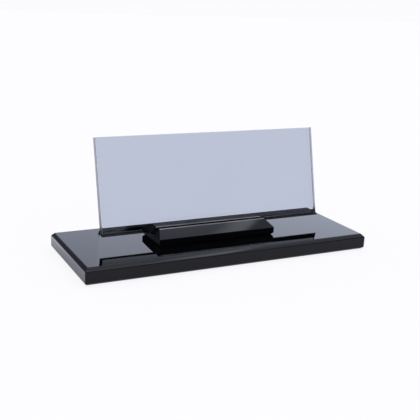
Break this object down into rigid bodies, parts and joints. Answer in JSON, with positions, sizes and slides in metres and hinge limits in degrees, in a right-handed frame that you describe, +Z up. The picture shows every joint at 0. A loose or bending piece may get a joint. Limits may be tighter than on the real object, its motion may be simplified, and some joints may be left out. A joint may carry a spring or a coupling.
{
  "type": "desk name plate",
  "caption": "Desk name plate: a clear crystal plate leaning back on a bevelled black crystal slab, with a slotted black bar for business cards in front.",
  "frame": {"origin": "on the desk, under the centre of the base slab", "axes": "+X along the slab to the right of someone reading the plate, +Y away from that reader, +Z up"},
  "size_m": [0.25, 0.092, 0.0922],
  "materials": {
    "black_crystal": "polished opaque black",
    "clear_crystal": "polished clear, faintly blue-grey",
    "clear_cement": "thin clear film over black",
    "rubber_pad": "matt black"
  },
  "bodies": {
    "root": {"base_slab": "black_crystal", "name_plate": "clear_crystal", "card_bar": "black_crystal", "plate_bond": "clear_cement", "bar_bond": "clear_cement", "foot_pad_front_left": "rubber_pad", "foot_pad_front_right": "rubber_pad", "foot_pad_back_left": "rubber_pad", "foot_pad_back_right": "rubber_pad"}
  },
  "joints": []
}
